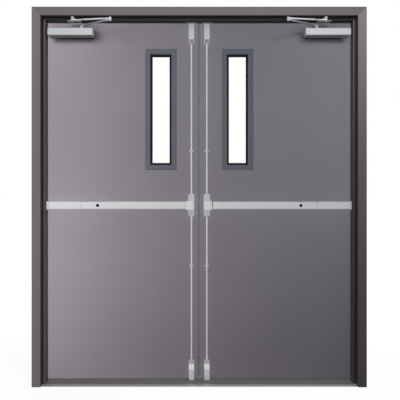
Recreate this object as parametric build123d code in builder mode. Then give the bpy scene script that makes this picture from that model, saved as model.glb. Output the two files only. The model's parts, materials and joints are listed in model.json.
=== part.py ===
from build123d import *
import os
from math import hypot

# Double steel exit door in its pressed-steel frame, millimetres, +Z up.
# Origin: floor level, middle of the opening, middle of the frame's depth.
# The push side, with the exit devices and closers, faces -Y, and both leaves swing towards +Y.
# Every piece of a leaf is made for the right-hand leaf and mirrored for the left-hand one.

os.makedirs("parts", exist_ok=True)

# Frame
opening_width = 1828.8
opening_height = 2140.0
face_width = 50.8
jamb_depth = 146.05
front_rabbet = 39.7
stop_width = 55.2
stop_height = 15.9
backbend = 12.7
frame_sheet = 1.9
bend_radius = 2.4

# Anchors and silencers
anchor_sheet = 1.5
wall_anchor_height = 60.0
wall_anchor_offset = 150.0
anchor_fit = 0.3
floor_anchor_sheet = 3.0
floor_anchor_height = 50.0
floor_bolt_hole = 11.0
floor_bolt_spacing = 60.0
silencer_diameter = 12.0
silencer_drop = 1.0
silencer_gap = 0.3
silencer_x = 160.0

# Threshold
threshold_height = 5.0
threshold_depth = 132.0
threshold_bevel = 22.0
threshold_edge = 1.0
threshold_fit = 0.8

# Leaves
leaf_thickness = 44.45
leaf_gap = 5.0
meeting_gap = 5.0
meeting_bevel = 2.8
stop_gap = 5.0
leaf_undercut = 5.0
leaf_skin = 1.3
end_channel_depth = 18.0

# Vision lites
lite_x = 228.6
lite_top_margin = 161.1
lite_bar_margin = 183.75
glass_width = 101.6
glass_thickness = 6.35
glass_bite = 8.0
lip_width = 12.7
lite_flange = 30.5
lite_flange_proud = 5.0
lite_leg = 1.9
lite_bevel = 2.5
seal_depth = 14.0

# Butt hinges
hinge_end_margin = 190.0
hinge_height = 114.3
hinge_knuckles = 3
hinge_plate = 3.4
hinge_plate_depth = 44.0
hinge_pin_inset = 1.6
hinge_pin_proud = 8.0
knuckle_radius = 7.0
knuckle_gap = 0.3
hinge_pin_radius = 4.0
mortise_backing = 4.0
running_clearance = 0.05

# Exit device
bar_z = 1044.5
rail_height = 46.5
rail_depth = 60.0
rail_channel_depth = 28.0
rail_channel_height = 38.0
rail_housing_length = 190.9
rail_end_margin = 15.6
end_cap_length = 14.3
end_cap_height = 48.5
rail_edge_radius = 7.0
pad_height = 45.4
pad_back_gap = 5.5
pad_wall = 3.0
pad_slide_gap = 1.0
pad_travel = 14.0
pad_post_size = 10.0
pad_post_inset = 110.0
slide_clearance = 0.3
dogging_inset = 95.0
dogging_hole = 15.0
dogging_screw = 10.0
centre_block_inner_x = 28.2
centre_block_length = 50.3
centre_block_height = 52.0
centre_block_depth = 68.0
centre_block_edge = 4.0
centre_case_width = 40.6
centre_case_end_width = 34.8
centre_case_height = 135.0
centre_case_depth = 37.0
centre_case_corner = 6.0
centre_case_edge = 2.5

# Vertical rods and latches
rod_x = 45.6
rod_radius = 4.75
rod_offset = 16.0
rod_in_case = 30.0
guide_width = 26.0
guide_height = 10.0
guide_depth = 24.0
guide_corner = 5.0
upper_guide_gap = 253.0
lower_guide_gap = 291.5
bolt_size = 12.0
bolt_length = 60.0
bolt_slope = 5.0
bolt_set_back = 0.5
top_throw = 14.0
bottom_throw = 10.0
latch_width = 31.5
latch_depth = 30.0
latch_shallow_depth = 26.5
latch_mouth_depth = 8.0
latch_face_length = 63.0
latch_slope_length = 24.0
latch_nose_length = 30.0
strike_length = 62.0
strike_width = 30.0
strike_thickness = 1.5
strike_hole = 16.0

# Closer
closer_length = 262.5
closer_end_margin = 24.4
closer_depth = 62.0
closer_top_margin = 54.0
closer_height = 42.0
closer_edge = 3.0
spindle_inset = 194.0
spindle_depth = 32.9
spindle_radius = 7.0
spindle_boss_radius = 12.0
spindle_boss_height = 2.5
arm_hub_radius = 11.0
arm_hub_height = 19.0
arm_seat = 2.0
arm_gap = 1.0
arm_thickness = 6.0
elbow_reach = 184.0
elbow_proud = 33.0
elbow_radius = 8.5
elbow_nut_size = 14.0
elbow_nut_height = 4.0
forearm_eye_height = 10.5
forearm_tube_radius = 5.0
forearm_rod_radius = 3.4
forearm_rod_length = 78.0
pivot_offset = 40.0
pivot_behind = 7.0
pivot_pin_radius = 4.0
pivot_head_size = 13.0
pivot_head_height = 3.0
bracket_plate_width = 78.0
bracket_plate_thickness = 3.5
bracket_plate_depth = 43.0
bracket_boss_radius = 10.5
bracket_boss_height = 12.0

# Places worked out from the sizes
half_opening = opening_width / 2
half_outer = half_opening + face_width
outer_height = opening_height + face_width
half_depth = jamb_depth / 2
stop_front_y = -half_depth + front_rabbet
stop_back_y = stop_front_y + stop_width
soffit_z = opening_height - stop_height
push_y = stop_back_y + stop_gap
pull_y = push_y + leaf_thickness
leaf_outer_x = half_opening - leaf_gap
leaf_inner_x = meeting_gap / 2
leaf_bottom_z = threshold_height + leaf_undercut
leaf_top_z = opening_height - leaf_gap
hinge_pin_x = half_opening - hinge_pin_inset
hinge_pin_y = half_depth + hinge_pin_proud
leaf_mid_y = (push_y + pull_y) / 2
lite_border = lip_width + lite_flange
glass_top_z = leaf_top_z - lite_top_margin - lite_border
glass_bottom_z = bar_z + end_cap_height / 2 + lite_bar_margin + lite_border
glass_height = glass_top_z - glass_bottom_z
lite_z = (glass_top_z + glass_bottom_z) / 2
hinge_levels = (
    leaf_bottom_z + hinge_end_margin + hinge_height / 2,
    (leaf_bottom_z + leaf_top_z) / 2,
    leaf_top_z - hinge_end_margin - hinge_height / 2,
)
cap_end_x = leaf_outer_x - rail_end_margin
rail_end_x = cap_end_x - end_cap_length
rail_start_x = rail_end_x - rail_housing_length
centre_block_outer_x = centre_block_inner_x + centre_block_length
pad_inner_x = centre_block_outer_x + pad_slide_gap
dogging_x = rail_start_x - dogging_inset
rod_y = push_y - rod_offset
top_latch_z = soffit_z - strike_thickness - leaf_gap
bottom_latch_z = leaf_bottom_z + bolt_set_back
latch_length = latch_face_length + latch_slope_length + latch_nose_length
case_top_z = bar_z + centre_case_height / 2
case_bottom_z = bar_z - centre_case_height / 2
guide_levels = (case_top_z + upper_guide_gap, case_bottom_z - lower_guide_gap)
closer_outer_x = leaf_outer_x - closer_end_margin
closer_inner_x = closer_outer_x - closer_length
closer_bottom_z = leaf_top_z - closer_top_margin - closer_height
closer_top_z = closer_bottom_z + closer_height
spindle_x = closer_outer_x - spindle_inset
spindle_y = push_y - spindle_depth
elbow_x = spindle_x - elbow_reach
elbow_y = -half_depth - elbow_proud
pivot_x = spindle_x + pivot_offset
pivot_y = -half_depth + pivot_behind


def save(piece, name):
    piece.part.label = name
    export_step(piece.part, f"parts/{name}.step")


def save_pair(piece, name):
    """Writes a right-hand piece and its mirror image for the left-hand side."""
    save(piece, f"right_{name}")
    with BuildPart() as twin:
        add(mirror(piece.part, about=Plane.YZ))
    save(twin, f"left_{name}")


def frame_profile():
    """Section of the pressed frame: x runs from the opening into the wall, y through the wall."""
    front_bends = [(face_width, -half_depth), (0, -half_depth)]
    stop_bends = [(-stop_height, stop_front_y), (-stop_height, stop_back_y)]
    back_bends = [(0, half_depth), (face_width, half_depth)]
    with BuildSketch() as profile:
        with BuildLine():
            Polyline(
                (face_width, -half_depth + backbend),
                *front_bends,
                (0, stop_front_y),
                *stop_bends,
                (0, stop_back_y),
                *back_bends,
                (face_width, half_depth - backbend),
            )
            offset(amount=frame_sheet, side=Side.RIGHT, kind=Kind.INTERSECTION)
        make_face()
        for x, y in front_bends + stop_bends + back_bends:
            fillet(profile.vertices().sort_by_distance((x, y))[0], bend_radius)
    return profile.sketch


def knuckle_bands(first):
    """Middle heights of every second knuckle of a hinge, counted from the one at the bottom."""
    pitch = hinge_height / hinge_knuckles
    return [-hinge_height / 2 + (n + 0.5) * pitch for n in range(first, hinge_knuckles, 2)]


knuckle_length = hinge_height / hinge_knuckles - knuckle_gap
plate_end_y = hinge_pin_y - knuckle_radius - knuckle_gap
plate_start_y = half_depth - hinge_plate_depth

# Jamb, mitred at the top, with a backed mortise for each hinge
mitre = Plane(origin=(half_opening, 0, opening_height), z_dir=(-1, 0, 1))
with BuildPart() as jamb:
    with BuildSketch(Plane(origin=(half_opening, 0, 0))):
        add(frame_profile())
    extrude(amount=outer_height)
    split(bisect_by=mitre, keep=Keep.BOTTOM)
    for level in hinge_levels:
        with Locations((half_opening + frame_sheet, plate_start_y - mortise_backing, level)):
            Box(
                hinge_plate + mortise_backing - frame_sheet,
                half_depth - plate_start_y - frame_sheet + mortise_backing,
                hinge_height + 2 * mortise_backing,
                align=(Align.MIN, Align.MIN, Align.CENTER),
            )
        with Locations((half_opening, plate_start_y, level)):
            Box(
                2 * hinge_plate,
                2 * hinge_plate_depth,
                hinge_height,
                align=(Align.CENTER, Align.MIN, Align.CENTER),
                mode=Mode.SUBTRACT,
            )
save_pair(jamb, "jamb")

# Head, mitred at both ends, with a hole for each top bolt
head_plane = Plane(origin=(half_outer, 0, opening_height), x_dir=(0, 0, 1), z_dir=(-1, 0, 0))
with BuildPart() as frame_head:
    with BuildSketch(head_plane):
        add(frame_profile())
    extrude(amount=2 * half_outer)
    split(bisect_by=mitre, keep=Keep.TOP)
    split(bisect_by=Plane(origin=(-half_opening, 0, opening_height), z_dir=(1, 0, 1)), keep=Keep.TOP)
    with Locations((rod_x, rod_y, soffit_z), (-rod_x, rod_y, soffit_z)):
        Box(strike_hole, strike_hole, 4 * frame_sheet, mode=Mode.SUBTRACT)
save(frame_head, "frame_head")

# Threshold: a flat saddle with bevelled edges, notched round the stops
with BuildPart() as threshold:
    with BuildSketch(Plane.YZ.offset(threshold_fit - half_opening)):
        with BuildLine():
            Polyline(
                (-threshold_depth / 2, 0),
                (threshold_depth / 2, 0),
                (threshold_depth / 2, threshold_edge),
                (threshold_depth / 2 - threshold_bevel, threshold_height),
                (-threshold_depth / 2 + threshold_bevel, threshold_height),
                (-threshold_depth / 2, threshold_edge),
                close=True,
            )
        make_face()
    extrude(amount=opening_width - 2 * threshold_fit)
    stop_middle_y = (stop_front_y + stop_back_y) / 2
    with Locations((half_opening, stop_middle_y, 0), (-half_opening, stop_middle_y, 0)):
        Box(
            2 * (stop_height + threshold_fit),
            stop_width + 2 * threshold_fit,
            4 * threshold_height,
            mode=Mode.SUBTRACT,
        )
    with Locations((rod_x, rod_y, 0), (-rod_x, rod_y, 0)):
        Box(strike_hole, strike_hole, 4 * threshold_height, mode=Mode.SUBTRACT)
save(threshold, "threshold")

# Wall anchors: bent straps that hug the inside of each jamb
anchor_back_x = half_opening + frame_sheet + anchor_fit
anchor_half = half_depth - frame_sheet - anchor_fit
with BuildPart() as wall_anchor:
    for level in hinge_levels:
        with BuildSketch(Plane.XY.offset(level + wall_anchor_offset)):
            with BuildLine():
                Polyline(
                    (half_outer - 2 * frame_sheet, -anchor_half),
                    (anchor_back_x, -anchor_half),
                    (anchor_back_x, anchor_half),
                    (half_outer - 2 * frame_sheet, anchor_half),
                )
                offset(amount=anchor_sheet, side=Side.RIGHT)
            make_face()
        extrude(amount=wall_anchor_height)
with BuildPart() as wall_anchors:
    add(wall_anchor.part)
    mirror(about=Plane.YZ)
save(wall_anchors, "wall_anchors")

# Floor anchors: a foot plate with two bolt holes and two upright tabs in each jamb
foot_length = face_width - 2 * (frame_sheet + anchor_fit)
floor_bolt_x = anchor_back_x + foot_length / 2 + floor_anchor_sheet / 2
tab_depth = front_rabbet - 3 * frame_sheet
with BuildPart() as floor_anchors:
    with Locations((anchor_back_x, 0, 0)):
        Box(foot_length, 2 * anchor_half, floor_anchor_sheet, align=(Align.MIN, Align.CENTER, Align.MIN))
    for side in (-1, 1):
        with Locations((anchor_back_x, side * (anchor_half - tab_depth / 2), 0)):
            Box(floor_anchor_sheet, tab_depth, floor_anchor_height, align=(Align.MIN, Align.CENTER, Align.MIN))
    with Locations((floor_bolt_x, floor_bolt_spacing / 2, 0), (floor_bolt_x, -floor_bolt_spacing / 2, 0)):
        Cylinder(floor_bolt_hole / 2, 4 * floor_anchor_sheet, mode=Mode.SUBTRACT)
    mirror(about=Plane.YZ)
save(floor_anchors, "floor_anchors")

# Rubber silencers on the head stop
with BuildPart() as silencers:
    silencer_z = soffit_z + stop_height / 2 - silencer_drop
    for x in (-silencer_x, silencer_x):
        with BuildSketch(Plane(origin=(x, stop_back_y, silencer_z), z_dir=(0, 1, 0))):
            Circle(silencer_diameter / 2)
        extrude(amount=stop_gap - silencer_gap)
save(silencers, "silencers")

# Strike plates under the head stop
with BuildPart() as top_strikes:
    with Locations((rod_x, rod_y, soffit_z), (-rod_x, rod_y, soffit_z)):
        Box(strike_length, strike_width, strike_thickness, align=(Align.CENTER, Align.CENTER, Align.MAX))
        Box(strike_hole, strike_hole, 4 * strike_thickness, mode=Mode.SUBTRACT)
save(top_strikes, "top_strikes")


def hinge_half(start_x, first):
    """One plate with its knuckles, for all the hinges of a leaf."""
    with BuildPart() as half:
        for level in hinge_levels:
            with Locations((start_x, plate_start_y, level)):
                Box(
                    hinge_plate,
                    plate_end_y - plate_start_y,
                    hinge_height,
                    align=(Align.MIN, Align.MIN, Align.CENTER),
                )
            for band in knuckle_bands(first):
                with Locations((start_x, plate_end_y, level + band)):
                    Box(
                        hinge_plate,
                        hinge_pin_y - plate_end_y,
                        knuckle_length,
                        align=(Align.MIN, Align.MIN, Align.CENTER),
                    )
                with Locations((hinge_pin_x, hinge_pin_y, level + band)):
                    Cylinder(knuckle_radius, knuckle_length)
    return half


# Hinge halves on the jambs, with the pin fixed in their knuckles
with BuildPart() as frame_hinges:
    add(hinge_half(half_opening, 0).part)
    for level in hinge_levels:
        with Locations((hinge_pin_x, hinge_pin_y, level)):
            Cylinder(hinge_pin_radius, hinge_height - knuckle_length)
    mirror(about=Plane.YZ)
save(frame_hinges, "frame_hinges")

# Hinge halves on the leaf, bored for the pin
with BuildPart() as leaf_hinges:
    add(hinge_half(leaf_outer_x - hinge_plate, 1).part)
    with Locations(*[(hinge_pin_x, hinge_pin_y, level) for level in hinge_levels]):
        Cylinder(hinge_pin_radius + running_clearance, hinge_height, mode=Mode.SUBTRACT)
save_pair(leaf_hinges, "leaf_hinges")

# Leaf: flush skins, end channels, bevelled meeting edge, lite cut-out and hinge mortises
cutout_width = glass_width + 2 * lip_width + 2 * lite_leg
cutout_height = glass_height + 2 * lip_width + 2 * lite_leg
with BuildPart() as leaf:
    with BuildSketch(Plane.XY.offset(leaf_bottom_z)):
        with BuildLine():
            Polyline(
                (leaf_inner_x + meeting_bevel, push_y),
                (leaf_outer_x, push_y),
                (leaf_outer_x, pull_y),
                (leaf_inner_x, pull_y),
                close=True,
            )
        make_face()
    extrude(amount=leaf_top_z - leaf_bottom_z)
    channel_length = leaf_outer_x - leaf_inner_x - meeting_bevel - 2 * leaf_skin
    channel_x = (leaf_outer_x + leaf_inner_x + meeting_bevel) / 2
    for z, align in ((leaf_bottom_z, Align.MIN), (leaf_top_z, Align.MAX)):
        with Locations((channel_x, leaf_mid_y, z)):
            Box(
                channel_length,
                leaf_thickness - 2 * leaf_skin,
                end_channel_depth,
                align=(Align.CENTER, Align.CENTER, align),
                mode=Mode.SUBTRACT,
            )
    with Locations((lite_x, leaf_mid_y, lite_z)):
        Box(cutout_width, 2 * leaf_thickness, cutout_height, mode=Mode.SUBTRACT)
    for level in hinge_levels:
        with Locations((leaf_outer_x, plate_start_y, level)):
            Box(
                2 * hinge_plate,
                hinge_plate_depth,
                hinge_height,
                align=(Align.CENTER, Align.MIN, Align.CENTER),
                mode=Mode.SUBTRACT,
            )
save_pair(leaf, "leaf")


def lite_frame(face_y, outwards):
    """Half of the lite kit: a bevelled flange on one face of the leaf and its leg in the cut-out."""
    with BuildPart() as half:
        with BuildSketch(Plane(origin=(lite_x, face_y, lite_z), x_dir=(1, 0, 0), z_dir=(0, outwards, 0))):
            Rectangle(cutout_width + 2 * (lite_flange - lite_leg), cutout_height + 2 * (lite_flange - lite_leg))
        extrude(amount=lite_flange_proud)
        chamfer(half.faces().sort_by(Axis.Y)[0 if outwards < 0 else -1].edges(), lite_bevel)
        with BuildSketch(Plane(origin=(lite_x, face_y, lite_z), x_dir=(1, 0, 0), z_dir=(0, -outwards, 0))):
            Rectangle(cutout_width, cutout_height)
        extrude(amount=leaf_thickness / 2)
        with Locations((lite_x, face_y, lite_z)):
            Box(cutout_width - 2 * lite_leg, 2 * leaf_thickness, cutout_height - 2 * lite_leg, mode=Mode.SUBTRACT)
    return half


save_pair(lite_frame(push_y, -1), "lite_frame")
save_pair(lite_frame(pull_y, 1), "lite_frame_back")

# Glazing seal: a channel round the edge of the glass
with BuildPart() as seal:
    with Locations((lite_x, leaf_mid_y, lite_z)):
        Box(glass_width + 2 * lip_width, seal_depth, glass_height + 2 * lip_width)
        Box(glass_width, 2 * seal_depth, glass_height, mode=Mode.SUBTRACT)
        Box(
            glass_width + 2 * glass_bite,
            glass_thickness,
            glass_height + 2 * glass_bite,
            mode=Mode.SUBTRACT,
        )
save_pair(seal, "glazing_seal")

with BuildPart() as glass:
    with Locations((lite_x, leaf_mid_y, lite_z)):
        Box(glass_width + 2 * glass_bite, glass_thickness, glass_height + 2 * glass_bite)
save_pair(glass, "lite_glass")

# Exit device rail: housing, channel behind the pad, end cap and dogging screw
post_places = (pad_inner_x + pad_post_inset, rail_start_x - pad_post_inset)
with BuildPart() as rail:
    with Locations(((rail_start_x + rail_end_x) / 2, push_y, bar_z)):
        Box(rail_housing_length, rail_depth, rail_height, align=(Align.CENTER, Align.MAX, Align.CENTER))
    fillet(rail.faces().sort_by(Axis.Y)[0].edges().filter_by(Axis.X), rail_edge_radius)
    with Locations((rail_end_x, push_y, bar_z)):
        Box(end_cap_length, rail_depth, end_cap_height, align=(Align.MIN, Align.MAX, Align.CENTER))
    fillet(rail.faces().sort_by(Axis.X)[-1].edges().sort_by(Axis.Y)[0], rail_edge_radius)
    with Locations((centre_block_outer_x, push_y, bar_z)):
        Box(
            rail_start_x - centre_block_outer_x,
            rail_channel_depth,
            rail_channel_height,
            align=(Align.MIN, Align.MAX, Align.CENTER),
        )
    with Locations(*[(x, push_y - rail_channel_depth, bar_z) for x in post_places]):
        Box(
            pad_post_size + 2 * slide_clearance,
            rail_channel_depth - leaf_skin,
            pad_post_size + 2 * slide_clearance,
            align=(Align.CENTER, Align.MIN, Align.CENTER),
            mode=Mode.SUBTRACT,
        )
    with BuildSketch(Plane(origin=(dogging_x, push_y - rail_channel_depth, bar_z), z_dir=(0, -1, 0))):
        Circle(dogging_screw / 2)
    extrude(amount=pad_travel)
save_pair(rail, "exit_rail")

# Push pad: an open-backed shell on two guide posts
pad_back_y = push_y - rail_channel_depth - pad_back_gap
pad_front_y = push_y - rail_depth
pad_length = rail_start_x - pad_inner_x - pad_slide_gap
pad_middle_x = pad_inner_x + pad_length / 2
with BuildPart() as pad:
    with Locations((pad_middle_x, pad_front_y, bar_z)):
        Box(pad_length, pad_back_y - pad_front_y, pad_height, align=(Align.CENTER, Align.MIN, Align.CENTER))
    fillet(pad.faces().sort_by(Axis.Y)[0].edges().filter_by(Axis.X), rail_edge_radius)
    with Locations((pad_middle_x, pad_front_y + pad_wall, bar_z)):
        Box(
            pad_length - 2 * pad_wall,
            pad_back_y - pad_front_y,
            pad_height - 2 * rail_edge_radius,
            align=(Align.CENTER, Align.MIN, Align.CENTER),
            mode=Mode.SUBTRACT,
        )
    with Locations(*[(x, pad_front_y + pad_wall, bar_z) for x in post_places]):
        Box(
            pad_post_size,
            rail_depth - pad_wall - 2 * leaf_skin,
            pad_post_size,
            align=(Align.CENTER, Align.MIN, Align.CENTER),
        )
    with BuildSketch(Plane(origin=(dogging_x, pad_front_y, bar_z), z_dir=(0, 1, 0))):
        Circle(dogging_hole / 2)
    extrude(amount=pad_wall, mode=Mode.SUBTRACT)
save_pair(pad, "push_pad")

# Centre case: a vertical housing that narrows to its ends, crossed by the block that takes the rail
with BuildPart() as centre_case:
    with BuildSketch(Plane(origin=(rod_x, push_y, bar_z), x_dir=(1, 0, 0), z_dir=(0, -1, 0))):
        with BuildLine():
            Polyline(
                (-centre_case_width / 2, 0),
                (-centre_case_width / 2, centre_block_height / 2),
                (-centre_case_end_width / 2, centre_case_height / 2),
                (centre_case_end_width / 2, centre_case_height / 2),
                (centre_case_width / 2, centre_block_height / 2),
                (centre_case_width / 2, 0),
            )
            mirror(about=Plane.XZ)
        make_face()
    extrude(amount=centre_case_depth)
    end_corners = centre_case.edges().filter_by(Axis.Y).group_by(Axis.Z)
    chamfer(end_corners[0] + end_corners[-1], centre_case_corner)
    chamfer(centre_case.faces().sort_by(Axis.Y)[0].edges(), centre_case_edge)
    with Locations((centre_block_inner_x, push_y, bar_z)):
        Box(
            centre_block_length,
            centre_block_depth,
            centre_block_height,
            align=(Align.MIN, Align.MAX, Align.CENTER),
        )
    chamfer(centre_case.faces().sort_by(Axis.Y)[0].edges(), centre_block_edge)
    for side in (-1, 1):
        end_z = bar_z + side * centre_case_height / 2
        with BuildSketch(Plane(origin=(rod_x, rod_y, end_z), z_dir=(0, 0, -side))):
            Rectangle(2 * (rod_radius + slide_clearance), 2 * (rod_radius + slide_clearance))
        extrude(amount=rod_in_case, mode=Mode.SUBTRACT)
save_pair(centre_case, "centre_case")

# Rod guides
with BuildPart() as guides:
    for level in guide_levels:
        with Locations((rod_x, push_y, level)):
            Box(guide_width, guide_depth, guide_height, align=(Align.CENTER, Align.MAX, Align.CENTER))
    chamfer(guides.edges().filter_by(Axis.Z).group_by(Axis.Y)[0], guide_corner)
    for level in guide_levels:
        with Locations((rod_x, rod_y, level)):
            Cylinder(rod_radius + running_clearance, 2 * guide_height, mode=Mode.SUBTRACT)
save_pair(guides, "rod_guides")


def latch_case(end_z, inwards):
    """Latch housing from its end at the frame towards the middle of the leaf."""
    slope_z = end_z + inwards * latch_face_length
    nose_z = slope_z + inwards * latch_slope_length
    tail_z = nose_z + inwards * latch_nose_length
    with BuildPart() as case:
        with BuildSketch(Plane(origin=(rod_x - latch_width / 2, 0, 0), x_dir=(0, 1, 0), z_dir=(1, 0, 0))):
            with BuildLine():
                Polyline(
                    (push_y, end_z),
                    (push_y - latch_depth, end_z),
                    (push_y - latch_depth, slope_z),
                    (push_y - latch_shallow_depth, nose_z),
                    (push_y - latch_mouth_depth, tail_z),
                    (push_y, tail_z),
                    close=True,
                )
            make_face()
        extrude(amount=latch_width)
        with Locations((rod_x, rod_y, end_z)):
            Box(
                bolt_size + 2 * slide_clearance,
                bolt_size + 2 * slide_clearance,
                4 * latch_length,
                mode=Mode.SUBTRACT,
            )
    return case


save_pair(latch_case(top_latch_z, -1), "top_latch_case")
save_pair(latch_case(bottom_latch_z, 1), "bottom_latch_case")


def rod(case_z, tip_z):
    """Vertical rod from inside the centre case to the tip of its bolt, which slopes on the push side."""
    way = 1 if tip_z > case_z else -1
    with BuildPart() as piece:
        with BuildSketch(Plane(origin=(rod_x, rod_y, case_z), z_dir=(0, 0, way))):
            Circle(rod_radius)
        extrude(amount=abs(tip_z - case_z) - bolt_length)
        with BuildSketch(Plane(origin=(rod_x, rod_y, tip_z), z_dir=(0, 0, -way))):
            Rectangle(bolt_size, bolt_size)
        extrude(amount=bolt_length)
        tip_edges = piece.faces().sort_by(Axis.Z)[-1 if way > 0 else 0].edges()
        chamfer(tip_edges.sort_by(Axis.Y)[0], bolt_slope)
    return piece


rod_grip = rod_in_case - max(top_throw, bottom_throw) / 2
save_pair(rod(case_top_z - rod_grip, top_latch_z - bolt_set_back), "top_rod")
save_pair(rod(case_bottom_z + rod_grip, bottom_latch_z + bolt_set_back), "bottom_rod")

# Closer body with its spindle
hub_bottom_z = closer_top_z + spindle_boss_height + arm_gap
with BuildPart() as closer:
    with Locations((closer_inner_x, push_y, closer_bottom_z)):
        Box(closer_length, closer_depth, closer_height, align=(Align.MIN, Align.MAX, Align.MIN))
    chamfer(closer.faces().sort_by(Axis.Y)[0].edges(), closer_edge)
    with Locations((spindle_x, spindle_y, closer_top_z)):
        Cylinder(spindle_boss_radius, spindle_boss_height, align=(Align.CENTER, Align.CENTER, Align.MIN))
        Cylinder(
            spindle_radius,
            spindle_boss_height + arm_gap + arm_hub_height,
            align=(Align.CENTER, Align.CENTER, Align.MIN),
        )
save_pair(closer, "closer_body")

# Main arm: hub on the spindle, flat tapered bar and the elbow nut under its eye
arm_bottom_z = hub_bottom_z + arm_hub_height - arm_seat
arm_top_z = arm_bottom_z + arm_thickness
with BuildPart() as main_arm:
    with BuildSketch(Plane.XY.offset(arm_bottom_z)):
        with Locations((spindle_x, spindle_y)):
            Circle(arm_hub_radius)
        with Locations((elbow_x, elbow_y)):
            Circle(elbow_radius)
        make_hull()
    extrude(amount=arm_thickness)
    with BuildSketch(Plane.XY.offset(arm_bottom_z - elbow_nut_height)):
        with Locations((elbow_x, elbow_y)):
            RegularPolygon(elbow_nut_size / 2, 6, major_radius=False)
    extrude(amount=elbow_nut_height)
    with Locations((spindle_x, spindle_y, hub_bottom_z)):
        Cylinder(arm_hub_radius, arm_hub_height, align=(Align.CENTER, Align.CENTER, Align.MIN))
        Cylinder(spindle_radius + running_clearance, 4 * arm_hub_height, mode=Mode.SUBTRACT)
save_pair(main_arm, "main_arm")

# Forearm: tube from the elbow eye, threaded rod and rod end at the bracket pivot
forearm_bottom_z = arm_top_z + arm_gap
forearm_z = forearm_bottom_z + forearm_eye_height / 2
forearm_length = hypot(elbow_x - pivot_x, elbow_y - pivot_y)
forearm_plane = Plane(
    origin=(pivot_x, pivot_y, forearm_z),
    z_dir=(elbow_x - pivot_x, elbow_y - pivot_y, 0),
)
with BuildPart() as forearm:
    with BuildSketch(forearm_plane):
        Circle(forearm_rod_radius)
    extrude(amount=forearm_rod_length)
    with BuildSketch(forearm_plane.offset(forearm_rod_length)):
        Circle(forearm_tube_radius)
    extrude(amount=forearm_length - forearm_rod_length)
    with Locations((elbow_x, elbow_y, forearm_bottom_z), (pivot_x, pivot_y, forearm_bottom_z)):
        Cylinder(elbow_radius, forearm_eye_height, align=(Align.CENTER, Align.CENTER, Align.MIN))
    with Locations((pivot_x, pivot_y, forearm_z)):
        Cylinder(pivot_pin_radius + running_clearance, 4 * forearm_eye_height, mode=Mode.SUBTRACT)
save_pair(forearm, "forearm")

# Closer brackets under the head stop, each with the pivot stud of its forearm
bracket_bottom_z = soffit_z - bracket_plate_thickness
with BuildPart() as brackets:
    with Locations((pivot_x, stop_front_y, soffit_z)):
        Box(
            bracket_plate_width,
            bracket_plate_depth,
            bracket_plate_thickness,
            align=(Align.CENTER, Align.MIN, Align.MAX),
        )
        Box(
            2 * bracket_boss_radius,
            stop_front_y - pivot_y,
            bracket_plate_thickness,
            align=(Align.CENTER, Align.MAX, Align.MAX),
        )
    with Locations((pivot_x, pivot_y, bracket_bottom_z)):
        Cylinder(bracket_boss_radius, bracket_boss_height, align=(Align.CENTER, Align.CENTER, Align.MIN))
    stud_end_z = forearm_bottom_z - arm_gap
    with Locations((pivot_x, pivot_y, bracket_bottom_z)):
        Cylinder(
            pivot_pin_radius,
            bracket_bottom_z - stud_end_z,
            align=(Align.CENTER, Align.CENTER, Align.MAX),
        )
    with BuildSketch(Plane.XY.offset(stud_end_z)):
        with Locations((pivot_x, pivot_y)):
            RegularPolygon(pivot_head_size / 2, 6, major_radius=False)
    extrude(amount=-pivot_head_height)
    mirror(about=Plane.YZ)
save(brackets, "closer_brackets")
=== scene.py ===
import json
from math import radians

import bmesh
import bpy
from mathutils import Matrix, Vector


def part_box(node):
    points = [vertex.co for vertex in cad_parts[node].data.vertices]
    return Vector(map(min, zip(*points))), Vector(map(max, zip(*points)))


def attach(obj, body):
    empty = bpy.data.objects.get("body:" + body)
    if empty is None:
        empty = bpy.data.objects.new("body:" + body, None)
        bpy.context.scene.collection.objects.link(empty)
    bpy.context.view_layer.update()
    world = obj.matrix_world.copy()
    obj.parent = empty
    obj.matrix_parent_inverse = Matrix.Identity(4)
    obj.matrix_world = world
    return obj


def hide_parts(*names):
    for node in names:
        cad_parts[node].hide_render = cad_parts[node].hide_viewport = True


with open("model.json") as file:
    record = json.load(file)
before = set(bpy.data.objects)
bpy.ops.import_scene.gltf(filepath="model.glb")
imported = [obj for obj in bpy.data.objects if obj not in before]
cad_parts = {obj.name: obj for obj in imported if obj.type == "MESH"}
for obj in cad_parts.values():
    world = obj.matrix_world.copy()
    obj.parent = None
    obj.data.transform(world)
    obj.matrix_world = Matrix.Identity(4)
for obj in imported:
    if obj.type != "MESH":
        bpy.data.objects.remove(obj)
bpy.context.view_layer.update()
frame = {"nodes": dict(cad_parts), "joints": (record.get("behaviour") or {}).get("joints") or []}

# Sizes are in millimetres, and the helpers turn them into metres
MM = 0.001
X, Y, Z = range(3)
# Least part of a unit direction that counts as lying along an axis
STRAIGHT = 0.9


# Places that the frame gives

def corners(node):
    """Lowest and highest corner of a CAD node, in mm to a thousandth."""
    return [[round(value / MM, 3) for value in corner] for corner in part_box(node)]


def middle_of(low, high, axis):
    return (low[axis] + high[axis]) / 2


def pin_of(joint):
    """Place in plan of a hinge's pin, in mm to a thousandth."""
    found = next(entry for entry in frame["joints"] if entry["name"] == joint)
    return tuple(round(value / MM, 3) for value in found["pos_m"][:Z])


# Handling of pieces

def select_only(obj):
    bpy.ops.object.select_all(action="DESELECT")
    obj.select_set(True)
    bpy.context.view_layer.objects.active = obj


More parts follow.
